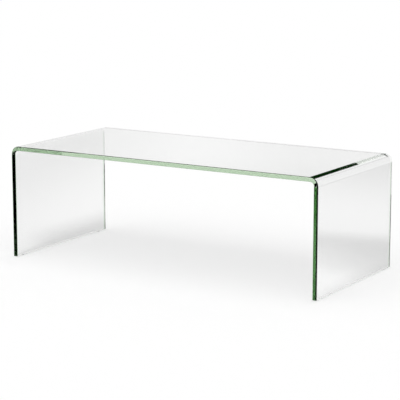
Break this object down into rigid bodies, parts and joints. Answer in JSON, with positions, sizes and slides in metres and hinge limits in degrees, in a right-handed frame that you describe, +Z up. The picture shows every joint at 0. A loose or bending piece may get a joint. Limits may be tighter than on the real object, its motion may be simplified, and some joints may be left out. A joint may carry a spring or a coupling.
{
  "type": "coffee table",
  "caption": "Low waterfall coffee table: a thick pane of clear glass, bent down at its ends to make its own legs, with polished green edges and clear foot pads.",
  "frame": {"origin": "on the floor, under the middle of the top", "axes": "+X along the table towards its right leg, +Y towards its back, +Z up"},
  "size_m": [1.003, 0.457, 0.33],
  "materials": {
    "clear_glass": "polished clear float glass, green through its edges",
    "clear_pad": "clear soft polyurethane, satin",
    "pad_adhesive": "clear adhesive gel"
  },
  "bodies": {
    "root": {"glass_pane": "clear_glass", "foot_pad_front_left": "clear_pad", "foot_pad_front_right": "clear_pad", "foot_pad_back_left": "clear_pad", "foot_pad_back_right": "clear_pad", "pad_adhesive_front_left": "pad_adhesive", "pad_adhesive_front_right": "pad_adhesive", "pad_adhesive_back_left": "pad_adhesive", "pad_adhesive_back_right": "pad_adhesive"}
  },
  "joints": []
}
